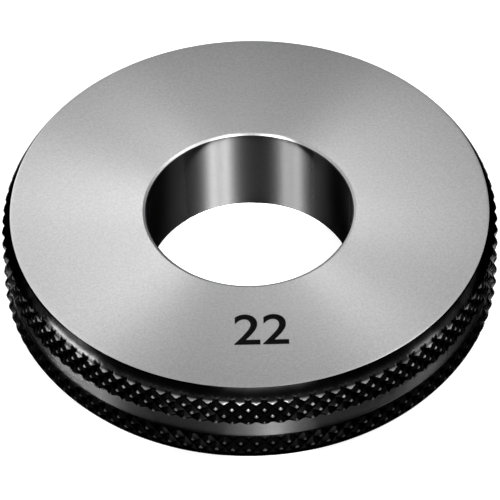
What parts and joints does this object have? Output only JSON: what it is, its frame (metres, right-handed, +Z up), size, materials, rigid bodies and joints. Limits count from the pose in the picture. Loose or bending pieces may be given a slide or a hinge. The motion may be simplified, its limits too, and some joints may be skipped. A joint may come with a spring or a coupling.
{
  "type": "plain ring gauge",
  "caption": "Plain ring gauge: a thick steel ring with a smooth ground bore, a diamond-knurled rim with rounded edges, and a plain groove turned round the rim.",
  "frame": {"origin": "centre of the bottom face, on the bore's axis", "axes": "+Z up along the bore's axis; -Y towards the side that the picture shows nearest"},
  "size_m": [0.053, 0.053, 0.0108],
  "materials": {
    "gauge_steel": "fine-ground faces and lapped bore, blackened knurled rim"
  },
  "bodies": {
    "root": {"gauge_ring": "gauge_steel"}
  },
  "joints": []
}
